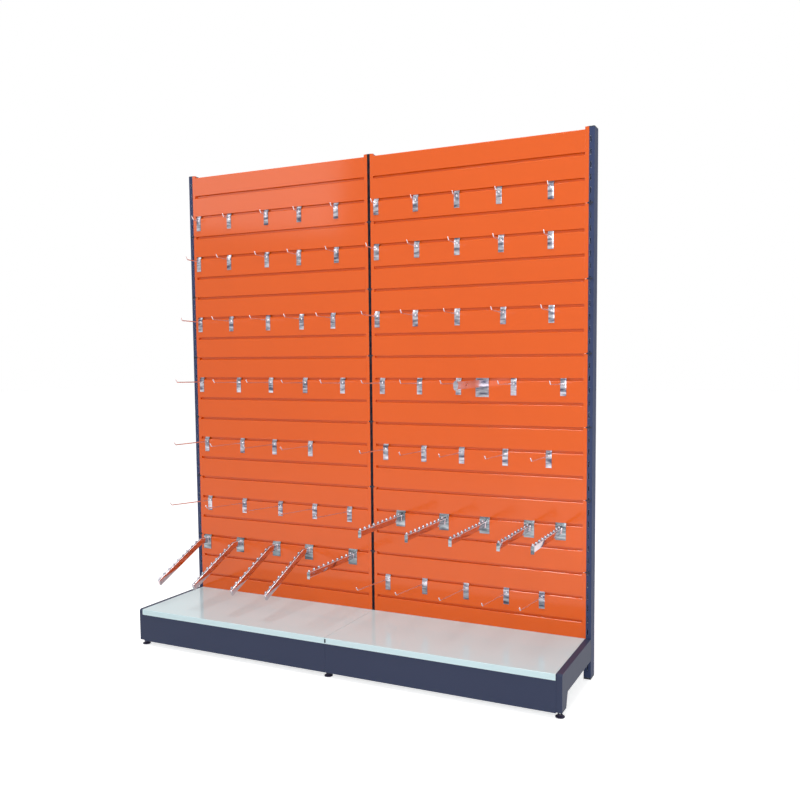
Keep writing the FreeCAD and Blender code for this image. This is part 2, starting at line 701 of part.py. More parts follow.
# Where fittings hang. A station runs from -1 at the groove's left end to 1 at its right end.
HOOK_ROWS = [
    ("left", 2, 50, (-0.99, -0.59, -0.12, 0.28, 0.71)),
    ("left", 4, 100, (-1.00, -0.60, -0.12, 0.27, 0.71)),
    ("left", 7, 150, (-1.00, -0.59, -0.12, 0.29, 0.66)),
    ("left", 10, 200, (-1.00, -0.51, -0.10, 0.32, 0.76)),
    ("left", 13, 250, (-0.95, -0.48, -0.07, 0.37)),
    ("left", 16, 300, (-0.93, -0.47, -0.01, 0.41, 0.82)),
    ("right", 2, 50, (-1.00, -0.58, -0.16, 0.25, 0.73)),
    ("right", 4, 100, (-1.00, -0.57, -0.16, 0.27, 0.73)),
    ("right", 7, 150, (-1.00, -0.59, -0.16, 0.29, 0.74)),
    ("right", 10, 200, (-0.95, -0.55, -0.15, 0.39, 0.85)),
    ("right", 13, 250, (-0.92, -0.51, -0.12, 0.31, 0.72)),
    ("right", 19, 300, (-0.91, -0.51, -0.08, 0.32, 0.66)),
]
LEFT_ARMS = (18, (-1.00, -0.55, -0.07, 0.34, 0.87))
RIGHT_ARMS = (16, (-0.78, -0.31, 0.11, 0.55, 0.85))
BAR_STATION = (10, 0.09)
MIDDLE = dict(BAYS)


def hang(master, label, side, groove, station, plate_width):
    """Hangs a copy in a groove, at its share of the free travel either side of the bay's middle."""
    travel = "(slat_length / 2 - %s / 2 - side_play * 2)" % plate_width
    across = "%s + (%s) * %s" % (MIDDLE[side], station, travel)
    return put(master, label, across, "0", "first_edge - groove_pitch * %d" % groove)


LONG_HOOK = 300
hooks = {}
for length in (50, 100, 150, 200, 250, 300):
    hooks[length] = make_hook(length, "long_wire_slope" if length == LONG_HOOK else "wire_slope")
for side, groove, length, stations in HOOK_ROWS:
    row = [hang(hooks[length], "%s_hook_%d_%d" % (side, length, index), side, groove, station,
                "hook_plate_width") for index, station in enumerate(stations, start=1)]
    group("%s_hooks_%d" % (side, length), row)

sloped_arm = make_sloped_arm()
level_arm = make_level_arm()
for index, station in enumerate(LEFT_ARMS[1], start=1):
    kind = level_arm if index == len(LEFT_ARMS[1]) else sloped_arm
    node(hang(kind, "left_ball_arm_%d" % index, "left", LEFT_ARMS[0], station, "arm_plate_width"))
for index, station in enumerate(RIGHT_ARMS[1], start=1):
    node(hang(level_arm, "right_ball_arm_%d" % index, "right", RIGHT_ARMS[0], station,
              "arm_plate_width"))
node(hang(make_bar_arm(), "right_bar_arm", "right", BAR_STATION[0], BAR_STATION[1],
          "bar_plate_width"))


# ---------------------------------------------------------------- check and write

document.recompute()
for item in document.Objects:
    if "Invalid" in item.State or "Error" in item.State:
        raise RuntimeError("%s did not build: %s" % (item.Label, item.State))
os.makedirs("parts", exist_ok=True)
for piece in NODES:
    shape = piece.Shape
    if shape.isNull() or not shape.isValid() or not shape.Solids:
        raise RuntimeError("%s has no sound solid" % piece.Label)
for piece in NODES:
    piece.Shape.exportStep(os.path.join("parts", piece.Label + ".step"))
print("wrote", len(NODES), "nodes")
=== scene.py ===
import json
import math
import bmesh
import bpy
from mathutils import Matrix, Vector


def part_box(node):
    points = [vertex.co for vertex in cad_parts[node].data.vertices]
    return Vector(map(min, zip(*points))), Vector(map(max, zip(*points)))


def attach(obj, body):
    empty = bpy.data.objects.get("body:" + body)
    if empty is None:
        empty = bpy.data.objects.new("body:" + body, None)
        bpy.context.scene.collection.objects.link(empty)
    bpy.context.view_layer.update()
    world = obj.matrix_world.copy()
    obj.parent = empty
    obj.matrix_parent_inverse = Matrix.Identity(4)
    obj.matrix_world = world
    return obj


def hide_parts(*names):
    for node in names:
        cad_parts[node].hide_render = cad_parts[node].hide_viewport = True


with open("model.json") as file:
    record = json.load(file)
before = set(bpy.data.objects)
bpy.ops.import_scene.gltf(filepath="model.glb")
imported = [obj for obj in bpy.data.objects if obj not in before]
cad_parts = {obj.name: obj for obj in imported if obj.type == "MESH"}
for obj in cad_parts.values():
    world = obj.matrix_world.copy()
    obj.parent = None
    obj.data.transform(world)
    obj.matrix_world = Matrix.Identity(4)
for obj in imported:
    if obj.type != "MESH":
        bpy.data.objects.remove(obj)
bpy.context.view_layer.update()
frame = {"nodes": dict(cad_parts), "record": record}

# Slat-panel tool wall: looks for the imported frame. Metres, +X right, +Y to the back, +Z up.

BODY_OF = {node: body for body, nodes in frame["record"]["behaviour"]["bodies"].items() for node in nodes}
SLOT_OF = {part["node"]: part["material_slot"] for part in frame["record"]["subparts"]}
SLAT_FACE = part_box("left_panel_1")[0][1]        # Y of the front of every slat
MM = 0.001

# Hangers: the folded plates that hook over a slat's edge. Heights are taken from that edge.
FLANGE_TOP = 20 * MM          # top of the flange behind the slat
SEAT = 0.3 * MM               # gap between a fitting and the slat it hangs on
PLATE = 2 * MM                # thickness of the plate
PLATE_FRONT = -SEAT - PLATE   # front of the plate, from the slat's face
LIP = 2.3 * MM                # from the slat's face to the flange
HANGER_DROP = 62 * MM         # how far the plate reaches down
OUTER_FOLD = 0.8 * MM         # chamfers where the plate turns over the edge
INNER_FOLD = 0.6 * MM

# Wire hooks.
HOOK_PLATE_WIDE = 25 * MM
WIRE = 2.5 * MM               # radius of the wire
WIRE_DROP = 12 * MM           # wire's axis below the slat's edge
BEND = 9 * MM                 # radius of the bend before the tip
TIP = 18 * MM                 # length of the turned-up tip
TIP_ANGLE = math.radians(45)
SHORT_RISE = math.radians(1)  # how steeply a hook's wire rises
LONG_RISE = math.radians(4)   # the same, for the longest hooks
BEAD = WIRE * 1.7             # radius of the weld bead
BEAD_FLAT = 0.45              # its depth as a share of its radius

# Ball arms. A drop is from the slat's edge to the tube's axis.
ARM_PLATE_WIDE = 45 * MM
ARM_WIDE = 12 * MM            # width of the tube
ARM_ROUND = 2.6 * MM          # rounding of the tube's corners
LEVEL_TALL, LEVEL_DROP = 25 * MM, 22.5 * MM
SLOPED_TALL, SLOPED_DROP = 30 * MM, 16 * MM
SLOPE = math.radians(24)
SLOPED_NECK = 55 * MM         # level stretch before a sloping arm's bend
SLOPED_RUN = 340 * MM         # sloping stretch beyond it
END_WIDE, END_TALL, END_DEEP = 14 * MM, 31 * MM, 3 * MM      # plate on a level arm's end
BALL = 12 * MM                # diameter of a ball
BALL_RISE = 0.8               # share of a ball that stands above its tube
BALL_LIFT = BALL * (BALL_RISE - 0.5)            # height of its centre above the tube
LEVEL_PITCH, SLOPED_PITCH = 40 * MM, 37 * MM    # from ball to ball
FIRST_BALL = 8 * MM           # from a level arm's end to the centre of the first ball

DOUBLES = 0.01 * MM           # corners of a CAD node closer than this are one corner
RELIEF = 0.2 * MM             # depth of the grain on every finish


# ---------------------------------------------------------------- shader groups and materials

def node_group(name, outputs, inputs):
    """A shader group with its sockets made; returns the tree, its input node and output node."""
    tree = bpy.data.node_groups.new(name, "ShaderNodeTree")
    for label, kind, value in inputs:
        socket = tree.interface.new_socket(name=label, in_out="INPUT", socket_type=kind)
        socket.default_value = value
    for label, kind in outputs:
        tree.interface.new_socket(name=label, in_out="OUTPUT", socket_type=kind)
    return tree, tree.nodes.new("NodeGroupInput"), tree.nodes.new("NodeGroupOutput")


def noise(tree, coordinates, scale, detail):
    """Noise on the coordinates; its scale is a number or a socket."""
    node = tree.nodes.new("ShaderNodeTexNoise")
    node.inputs["Detail"].default_value = detail
    tree.links.new(coordinates, node.inputs["Vector"])
    if isinstance(scale, bpy.types.NodeSocket):
        tree.links.new(scale, node.inputs["Scale"])
    else:
        node.inputs["Scale"].default_value = scale
    return node.outputs["Fac"]


def ranged(tree, value, taken, given):
    """Maps the taken range of a value onto the given one."""
    node = tree.nodes.new("ShaderNodeMapRange")
    node.inputs["From Min"].default_value, node.inputs["From Max"].default_value = taken
    node.inputs["To Min"].default_value, node.inputs["To Max"].default_value = given
    tree.links.new(value, node.inputs["Value"])
    return node.outputs["Result"]


def maths(tree, operation, first, second):
    node = tree.nodes.new("ShaderNodeMath")
    node.operation = operation
    for index, value in enumerate((first, second)):
        if isinstance(value, (int, float)):
            node.inputs[index].default_value = value
        else:
            tree.links.new(value, node.inputs[index])
    return node.outputs[0]


def mixed(tree, factor, first, second):
    """Blends two colours. A Mix node keeps its colour sockets at 6 and 7 and the result at 2."""
    node = tree.nodes.new("ShaderNodeMix")
    node.data_type = "RGBA"
    for index, value in ((0, factor), (6, first), (7, second)):
        tree.links.new(value, node.inputs[index])
    return node.outputs[2]


FINISH_OUTPUTS = [("Color", "NodeSocketColor"), ("Roughness", "NodeSocketFloat"),
                  ("Height", "NodeSocketFloat")]


def make_coating_group():
    """Powder coat: a fine orange peel, a slow drift of colour and rubbed rounds along the edges."""
    tree, given, out = node_group("powder_coat", FINISH_OUTPUTS, [
        ("Color", "NodeSocketColor", (0.5, 0.5, 0.5, 1)), ("Shade", "NodeSocketColor", (0.4, 0.4, 0.4, 1)),
        ("Edge", "NodeSocketColor", (0.8, 0.8, 0.8, 1)), ("Gloss", "NodeSocketFloat", 0.3),
        ("Wear", "NodeSocketFloat", 0.2)])
    place = tree.nodes.new("ShaderNodeTexCoord").outputs["Object"]
    rounds = tree.nodes.new("ShaderNodeAttribute")
    rounds.attribute_name = "rounds"
    drift = noise(tree, place, scale=1.6, detail=1.0)
    peel = noise(tree, place, scale=700.0, detail=2.0)
    smear = noise(tree, place, scale=22.0, detail=4.0)
    base = mixed(tree, ranged(tree, drift, (0.3, 0.7), (0.0, 1.0)), given.outputs["Color"],
                 given.outputs["Shade"])
    patchy = maths(tree, "MULTIPLY", rounds.outputs["Fac"], ranged(tree, smear, (0.45, 0.65), (0.2, 1.0)))
    rubbed = maths(tree, "MULTIPLY", patchy, given.outputs["Wear"])
    tree.links.new(mixed(tree, rubbed, base, given.outputs["Edge"]), out.inputs["Color"])
    uneven = ranged(tree, smear, (0.3, 0.7), (-0.004, 0.008))
    tree.links.new(maths(tree, "ADD", given.outputs["Gloss"], uneven), out.inputs["Roughness"])
    tree.links.new(peel, out.inputs["Height"])
    return tree


def make_plating_group():
    """Zinc plate: clouds of passivation drawn out level, and a fine grain."""
    tree, given, out = node_group("zinc_plate", FINISH_OUTPUTS, [
        ("Bright", "NodeSocketColor", (0.8, 0.8, 0.82, 1)),
        ("Cloud", "NodeSocketColor", (0.6, 0.62, 0.66, 1)),
        ("Gloss", "NodeSocketFloat", 0.2), ("Grain", "NodeSocketFloat", 300.0)])
    place = tree.nodes.new("ShaderNodeTexCoord").outputs["Object"]
    drawn = tree.nodes.new("ShaderNodeMapping")
    drawn.inputs["Scale"].default_value = (0.35, 0.35, 1.6)
    tree.links.new(place, drawn.inputs["Vector"])
    cloud = noise(tree, drawn.outputs["Vector"], scale=45.0, detail=2.0)
    grain = noise(tree, place, scale=given.outputs["Grain"], detail=2.0)
    tree.links.new(mixed(tree, ranged(tree, cloud, (0.35, 0.65), (0.0, 1.0)), given.outputs["Bright"],
                         given.outputs["Cloud"]), out.inputs["Color"])
    uneven = ranged(tree, cloud, (0.3, 0.7), (-0.03, 0.06))
    tree.links.new(maths(tree, "ADD", given.outputs["Gloss"], uneven), out.inputs["Roughness"])
    tree.links.new(grain, out.inputs["Height"])
    return tree


COATING = make_coating_group()
PLATING = make_plating_group()


def finish_from(name, group, values, metallic, bump, specular):
    """A material that takes its colour, roughness and relief from a group."""
    material = bpy.data.materials.new(name)
    material.use_nodes = True
    tree = material.node_tree
    shader = tree.nodes["Principled BSDF"]
    shader.inputs["Metallic"].default_value = metallic
    shader.inputs["Specular IOR Level"].default_value = specular
    made = tree.nodes.new("ShaderNodeGroup")
    made.node_tree = group
    for label, value in values.items():
        made.inputs[label].default_value = value
    relief = tree.nodes.new("ShaderNodeBump")
    relief.inputs["Strength"].default_value = bump
    relief.inputs["Distance"].default_value = RELIEF
    tree.links.new(made.outputs["Color"], shader.inputs["Base Color"])
    tree.links.new(made.outputs["Roughness"], shader.inputs["Roughness"])
    tree.links.new(made.outputs["Height"], relief.inputs["Height"])
    tree.links.new(relief.outputs["Normal"], shader.inputs["Normal"])
    return material


def coated(name, colour, shade, edge, gloss, wear, bump, specular=0.5):
    """Powder coat or a moulded skin: it drifts to the shade, and its rubbed edges show the edge colour."""
    values = {"Color": (*colour, 1), "Shade": (*shade, 1), "Edge": (*edge, 1), "Gloss": gloss, "Wear": wear}
    return finish_from(name, COATING, values, 0.0, bump, specular)


def plated(name, bright, cloud, gloss, grain, metallic=1.0, bump=0.1):
    """Zinc plate between a bright colour and a cloudy one."""
    values = {"Bright": (*bright, 1), "Cloud": (*cloud, 1), "Gloss": gloss, "Grain": grain}
    return finish_from(name, PLATING, values, metallic, bump, specular=0.5)


# The finish of each slot.
MATERIALS = {
    "panel_orange": coated("orange_powder_coat", (0.81, 0.112, 0.003), (0.79, 0.107, 0.0025),
                           (0.88, 0.22, 0.05), gloss=0.10, wear=0.35, bump=0.03, specular=0.45),
    "frame_blue": coated("dark_blue_powder_coat", (0.036, 0.047, 0.092), (0.034, 0.044, 0.087),
                         (0.09, 0.12, 0.22), gloss=0.50, wear=0.5, bump=0.06, specular=0.18),
    "deck_grey": coated("pale_grey_powder_coat", (0.595, 0.785, 0.83), (0.58, 0.765, 0.81),
                        (0.80, 0.84, 0.86), gloss=0.14, wear=0.4, bump=0.03),
    "hook_zinc": plated("hook_plate_zinc", (0.57, 0.56, 0.61), (0.09, 0.09, 0.13), gloss=0.18, grain=420.0),
    "arm_zinc": plated("arm_tube_zinc", (0.70, 0.59, 0.62), (0.58, 0.49, 0.52), gloss=0.08, grain=260.0,
                       bump=0.01),
    "stud_zinc": plated("stud_zinc_plate", (0.50, 0.52, 0.54), (0.36, 0.38, 0.40), gloss=0.28, grain=500.0),
    "clip_steel": coated("clip_dark_coat", (0.014, 0.018, 0.036), (0.012, 0.016, 0.032),
                         (0.09, 0.11, 0.18), gloss=0.4, wear=0.6, bump=0.10, specular=0.35),
    "cap_black": coated("dark_moulded_plastic", (0.020, 0.026, 0.042), (0.017, 0.022, 0.036),
                        (0.06, 0.06, 0.08), gloss=0.50, wear=0.4, bump=0.3, specular=0.35),
    "foot_black": coated("foot_plastic", (0.030, 0.026, 0.060), (0.025, 0.022, 0.050),
                         (0.08, 0.07, 0.12), gloss=0.50, wear=0.4, bump=0.3, specular=0.3),
}

# Finishes of single pieces and of stretches of a piece.
# Painted reflection in part: the frame's dark blue made lighter and bluer for the uprights' bluish sheen.
UPRIGHT_BLUE_PAINTED_REFLECTION = coated("upright_blue_powder_coat", (0.045, 0.063, 0.142), (0.039, 0.055, 0.126),
                      (0.10, 0.15, 0.28), gloss=0.55, wear=0.5, bump=0.10, specular=0.15)
# Painted shade: a near-black coat for the centre upright's front, standing for the shadow in the gap.
GAP_PAINTED_SHADE = coated("dark_coat_between_panels", (0.012, 0.011, 0.018), (0.010, 0.009, 0.014),
                   (0.05, 0.05, 0.09), gloss=0.50, wear=0.4, bump=0.10, specular=0.15)
HOOK_WIRE = plated("hook_wire_zinc", (0.82, 0.77, 0.79), (0.68, 0.64, 0.67), gloss=0.20, grain=420.0,
                   metallic=0.88, bump=0.04)
# Painted highlight: a pale zinc for the upward corner rounds of the arm tubes, standing for a highlight line.
PAINTED_HIGHLIGHT_ZINC = plated("bright_edge_zinc", (0.90, 0.86, 0.87), (0.80, 0.76, 0.78), gloss=0.26, grain=420.0,
                   metallic=0.72, bump=0.05)
# Painted reflection: zinc darker than the hook plates', standing for a dark room reflected in the arm plates.
ARM_PLATE_PAINTED_DARK = plated("arm_plate_zinc", (0.38, 0.42, 0.45), (0.10, 0.12, 0.14), gloss=0.22, grain=260.0)
# Painted shade: a darker zinc for the flat tops of the arm tubes, so that they don't read white.
TUBE_TOP_PAINTED_SHADE = plated("tube_top_zinc", (0.36, 0.37, 0.45), (0.26, 0.27, 0.34), gloss=0.22, grain=260.0, bump=0.03)
BAR_ZINC = plated("bar_zinc", (0.74, 0.66, 0.68), (0.64, 0.57, 0.60), gloss=0.22, grain=260.0,
                  metallic=0.96, bump=0.02)
BALL_ZINC = plated("ball_zinc", (0.56, 0.56, 0.61), (0.30, 0.31, 0.36), gloss=0.16, grain=260.0)
SLOT_EDGE = plated("raw_slot_edge", (0.80, 0.86, 0.92), (0.62, 0.68, 0.74), gloss=0.35, grain=300.0)


# ---------------------------------------------------------------- mesh helpers

def to_object(name, mesh):
    piece = bpy.data.objects.new(name, mesh)
    bpy.context.scene.collection.objects.link(piece)
    return piece


def smooth(mesh):
    """Smooth shading everywhere but across real corners."""
    mesh.shade_smooth()
    mesh.set_sharp_from_angle(angle=math.radians(32))


def finish_index(piece, finish):
    """The index of a finish among a piece's materials, added where it is missing."""
    if finish.name not in piece.data.materials:
        piece.data.materials.append(finish)
    return piece.data.materials.find(finish.name)


def folded(corners, low, high, rounding, segments=2):
    """A bmesh of an outline in Y and Z drawn from x = low to x = high, with its edges rounded."""
    work = bmesh.new()
    near = [work.verts.new((low, y, z)) for y, z in corners]
    far = [work.verts.new((high, y, z)) for y, z in corners]
    work.faces.new(near)
    work.faces.new(far)
    for index in range(len(corners)):
        following = (index + 1) % len(corners)
        work.faces.new((near[index], near[following], far[following], far[index]))
    bmesh.ops.recalc_face_normals(work, faces=work.faces)
    bmesh.ops.bevel(work, geom=list(work.edges), offset=rounding, segments=segments,
                    profile=0.5, affect="EDGES", clamp_overlap=True)
    return work


def box_work(low, high, rounding, segments=2):
    """A bmesh of a box between two corners, with its edges rounded."""
    return folded([(low[1], low[2]), (high[1], low[2]), (high[1], high[2]), (low[1], high[2])],
                  low[0], high[0], rounding, segments)


def shifted(work, place):
    """Moves a bmesh and returns it."""
    bmesh.ops.translate(work, vec=place, verts=work.verts)
    return work


def pieces_joined(name, groups):
    """One mesh object from several bmeshes; each group is a material and its bmeshes."""
    whole = bmesh.new()
    mesh = bpy.data.meshes.new(name)
    for index, (material, works) in enumerate(groups):
        mesh.materials.append(material)
        for work in works:
            for face in work.faces:
                face.material_index = index
            part = bpy.data.meshes.new("part")
            work.to_mesh(part)
            work.free()
            whole.from_mesh(part)
            bpy.data.meshes.remove(part)
    whole.to_mesh(mesh)
    whole.free()
    smooth(mesh)
    return to_object(name, mesh)


def even_normals(mesh):
    """The mesh with normals weighted by face area, so flat faces shade flat right up to their rounds."""
    carrier = to_object(mesh.name + "_carrier", mesh)
    modifier = carrier.modifiers.new("even", "WEIGHTED_NORMAL")
    modifier.keep_sharp = True
    modifier.weight = 100
    graph = bpy.context.evaluated_depsgraph_get()
    made = bpy.data.meshes.new_from_object(carrier.evaluated_get(graph), preserve_all_data_layers=True,
                                           depsgraph=graph)
    made.name = mesh.name
    bpy.data.objects.remove(carrier)
    return made


def merged(node):
    """A bmesh of a CAD node where it stands, with its doubles merged."""
    source = frame["nodes"][node]
    work = bmesh.new()
    work.from_mesh(source.data)
    work.transform(source.matrix_world)
    bmesh.ops.remove_doubles(work, verts=work.verts, dist=DOUBLES)
    return work


def islands(node):
    """The boxes of a CAD node's separate solids, in order of X."""
    work = merged(node)
    seen, boxes = set(), []
    for start in work.verts:
        if start in seen:
            continue
        stack, group = [start], []
        seen.add(start)
        while stack:
            vertex = stack.pop()
            group.append(vertex.co.copy())
            for edge in vertex.link_edges:
                other = edge.other_vert(vertex)
                if other not in seen:
                    seen.add(other)
                    stack.append(other)
        low = Vector(min(p[i] for p in group) for i in range(3))
        high = Vector(max(p[i] for p in group) for i in range(3))
        boxes.append((low, high))
    work.free()
    return sorted(boxes, key=lambda box: box[0].x)


def settle(piece, node):
    """A finished piece stands for its CAD node and rides on the same body."""
    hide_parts(node)
    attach(piece, BODY_OF[node])


def rounded_copy(node, rounding, segments=2, degrees=25):
    """A copy of a CAD node with the edges that turn by more than so many degrees rounded."""
    work = merged(node)
    bmesh.ops.dissolve_limit(work, angle_limit=math.radians(1), verts=work.verts, edges=work.edges)
    sharp = [edge for edge in work.edges if len(edge.link_faces) == 2
             and edge.calc_face_angle(0) > math.radians(degrees)]
    worn = work.faces.layers.float.new("rounds")
    made = bmesh.ops.bevel(work, geom=sharp, offset=rounding, segments=segments, profile=0.5,
                           affect="EDGES", clamp_overlap=True)
    for face in made["faces"]:
        face[worn] = 1.0
    mesh = bpy.data.meshes.new(node + "_finished")
    work.to_mesh(mesh)
    work.free()
    mesh.materials.append(MATERIALS[SLOT_OF[node]])
    smooth(mesh)
    piece = to_object(node + "_finished", even_normals(mesh))
    settle(piece, node)
    return piece


# ---------------------------------------------------------------- geometry node trees

def geometry_tree(name, inputs):
    """A geometry tree with its sockets made; returns the tree, its input node and output node."""
    tree = bpy.data.node_groups.new(name, "GeometryNodeTree")
    tree.interface.new_socket(name="Geometry", in_out="INPUT", socket_type="NodeSocketGeometry")
    for label, kind in inputs:
        tree.interface.new_socket(name=label, in_out="INPUT", socket_type=kind)
    tree.interface.new_socket(name="Geometry", in_out="OUTPUT", socket_type="NodeSocketGeometry")
    return tree, tree.nodes.new("NodeGroupInput"), tree.nodes.new("NodeGroupOutput")


def close_tree(tree, given, out, shape):
    """Ends a tree: its copies are made real and take the material. Returns the last node."""
    real = tree.nodes.new("GeometryNodeRealizeInstances")
    paint = tree.nodes.new("GeometryNodeSetMaterial")
    tree.links.new(shape, real.inputs[0])
    tree.links.new(real.outputs[0], paint.inputs["Geometry"])
    tree.links.new(given.outputs["Material"], paint.inputs["Material"])
    tree.links.new(paint.outputs[0], out.inputs[0])
    return paint


def make_wire_tree():
    """Turns a path of straight edges into round wire with bent corners."""
    tree, given, out = geometry_tree("bent_wire", [
        ("Bend Radius", "NodeSocketFloat"), ("Wire Radius", "NodeSocketFloat"),
        ("Sides", "NodeSocketInt"), ("Material", "NodeSocketMaterial")])
    path = tree.nodes.new("GeometryNodeMeshToCurve")
    bend = tree.nodes.new("GeometryNodeFilletCurve")
    ring = tree.nodes.new("GeometryNodeCurvePrimitiveCircle")
    wire = tree.nodes.new("GeometryNodeCurveToMesh")
    bend.mode = "POLY"
    bend.inputs["Count"].default_value = 5
    wire.inputs["Fill Caps"].default_value = True
    tree.links.new(given.outputs["Geometry"], path.inputs[0])
    tree.links.new(path.outputs[0], bend.inputs[0])
    tree.links.new(given.outputs["Bend Radius"], bend.inputs["Radius"])
    tree.links.new(given.outputs["Sides"], ring.inputs["Resolution"])
    tree.links.new(given.outputs["Wire Radius"], ring.inputs["Radius"])
    tree.links.new(bend.outputs[0], wire.inputs["Curve"])
    tree.links.new(ring.outputs[0], wire.inputs["Profile Curve"])
    close_tree(tree, given, out, wire.outputs[0])
    return tree


def make_row_tree():
    """Sets one copy of a piece on every point; faces flagged as wire take the wire's material."""
    tree, given, out = geometry_tree("set_out_row", [
        ("Piece", "NodeSocketObject"), ("Material", "NodeSocketMaterial"),
        ("Wire Material", "NodeSocketMaterial")])
    points = tree.nodes.new("GeometryNodeMeshToPoints")
    piece = tree.nodes.new("GeometryNodeObjectInfo")
    copies = tree.nodes.new("GeometryNodeInstanceOnPoints")
    tree.links.new(given.outputs["Geometry"], points.inputs[0])
    tree.links.new(given.outputs["Piece"], piece.inputs["Object"])
    tree.links.new(points.outputs[0], copies.inputs["Points"])
    tree.links.new(piece.outputs["Geometry"], copies.inputs["Instance"])
    plates = close_tree(tree, given, out, copies.outputs[0])
    wired = tree.nodes.new("GeometryNodeInputNamedAttribute")
    wires = tree.nodes.new("GeometryNodeSetMaterial")
    wired.data_type = "BOOLEAN"
    wired.inputs["Name"].default_value = "wire"
    tree.links.new(plates.outputs[0], wires.inputs["Geometry"])
    tree.links.new(wired.outputs["Attribute"], wires.inputs["Selection"])
    tree.links.new(given.outputs["Wire Material"], wires.inputs["Material"])
    tree.links.new(wires.outputs[0], out.inputs[0])
    return tree


def make_ball_tree():
    """A straight row of balls from a start, one step apart."""
    tree, given, out = geometry_tree("ball_row", [
        ("Count", "NodeSocketInt"), ("Start", "NodeSocketVector"), ("Step", "NodeSocketVector"),
        ("Radius", "NodeSocketFloat"), ("Material", "NodeSocketMaterial")])
    line = tree.nodes.new("GeometryNodeMeshLine")
    points = tree.nodes.new("GeometryNodeMeshToPoints")
    ball = tree.nodes.new("GeometryNodeMeshUVSphere")
    copies = tree.nodes.new("GeometryNodeInstanceOnPoints")
    shade = tree.nodes.new("GeometryNodeSetShadeSmooth")
    ball.inputs["Segments"].default_value = 14
    ball.inputs["Rings"].default_value = 9
    tree.links.new(given.outputs["Count"], line.inputs["Count"])
    tree.links.new(given.outputs["Start"], line.inputs["Start Location"])
    tree.links.new(given.outputs["Step"], line.inputs["Offset"])
    tree.links.new(given.outputs["Radius"], ball.inputs["Radius"])
    tree.links.new(line.outputs[0], points.inputs[0])
    tree.links.new(points.outputs[0], copies.inputs["Points"])
    tree.links.new(ball.outputs[0], shade.inputs[0])
    tree.links.new(shade.outputs[0], copies.inputs["Instance"])
    close_tree(tree, given, out, copies.outputs[0])
    return tree


WIRE_TREE = make_wire_tree()
ROW_TREE = make_row_tree()
BALL_TREE = make_ball_tree()


def bare_mesh(name, points, edges=()):
    mesh = bpy.data.meshes.new(name)
    mesh.from_pydata(points, edges, [])
    return mesh


def run_tree(name, tree, mesh, values):
    """Runs a tree on a mesh and returns the result as a plain mesh."""
    carrier = to_object(name + "_carrier", mesh)
    modifier = carrier.modifiers.new("nodes", "NODES")
    modifier.node_group = tree
    for item in tree.interface.items_tree:
        if item.item_type == "SOCKET" and item.in_out == "INPUT" and item.name in values:
            modifier[item.identifier] = values[item.name]
    carrier.update_tag()
    graph = bpy.context.evaluated_depsgraph_get()
    made = bpy.data.meshes.new_from_object(carrier.evaluated_get(graph))
    made.name = name
    bpy.data.objects.remove(carrier)
    return made


def tree_work(name, tree, mesh, values):
    """Runs a tree on a mesh and returns the result as a bmesh."""
    made = run_tree(name, tree, mesh, values)
    work = bmesh.new()
    work.from_mesh(made)
    bpy.data.meshes.remove(made)
    return work


# ---------------------------------------------------------------- hooks

def hanger(width, rounding):
    """The folded plate of a fitting, hung at a slat's edge; the slat's face is Y = 0, its edge Z = 0."""
    top = SEAT + PLATE
    flange_back = LIP + PLATE
    corners = [
        (PLATE_FRONT, -HANGER_DROP), (PLATE_FRONT, top - OUTER_FOLD), (PLATE_FRONT + OUTER_FOLD, top),
        (LIP, top), (LIP, FLANGE_TOP), (flange_back, FLANGE_TOP),
        (flange_back, SEAT + INNER_FOLD), (flange_back - INNER_FOLD, SEAT),
        (-SEAT, SEAT), (-SEAT, -HANGER_DROP),
    ]
    return folded(corners, -width / 2, width / 2, rounding)


def round_work(radius, segments, place, flatten=1.0):
    """A bmesh of a ball round a place, flattened along Y by a factor.

    Its faces are sorted, because they come in a different order at each run.
    """
    ball = bmesh.new()
    bmesh.ops.create_uvsphere(ball, u_segments=segments, v_segments=7, radius=radius)
    for index, face in enumerate(sorted(ball.faces, key=lambda face: face.calc_center_median()[:])):
        face.index = index
    ball.faces.sort()
    bmesh.ops.scale(ball, vec=(1, flatten, 1), verts=ball.verts)
    return shifted(ball, place)


def hook_mesh(name, reach, rise):
    """One wire hook: hanger plate, weld bead and bent wire. reach is from the slat's face to the tip."""
    across = reach - TIP * math.cos(TIP_ANGLE)
    start = Vector((0, -SEAT - PLATE / 2, -WIRE_DROP))
    bend = Vector((0, -across, rise * across - WIRE_DROP))
    tip = Vector((0, -reach + WIRE, bend.z + TIP * math.sin(TIP_ANGLE)))
    path = bare_mesh(name + "_path", [start, bend, tip], [(0, 1), (1, 2)])
    wire = tree_work(name + "_wire", WIRE_TREE, path, {
        "Bend Radius": BEND, "Wire Radius": WIRE, "Sides": 12, "Material": HOOK_WIRE})
    bead = round_work(BEAD, 14, (0, PLATE_FRONT, -WIRE_DROP), BEAD_FLAT)
    end = round_work(WIRE, 12, tip)
    plate = hanger(HOOK_PLATE_WIDE, rounding=0.7 * MM)
    hook = pieces_joined(name, [(MATERIALS["hook_zinc"], [plate]), (HOOK_WIRE, [bead, end, wire])])
    flags = hook.data.attributes.new("wire", "BOOLEAN", "FACE").data
    wire_index = finish_index(hook, HOOK_WIRE)
    for face, flag in zip(hook.data.polygons, flags):
        flag.value = face.material_index == wire_index
    return hook


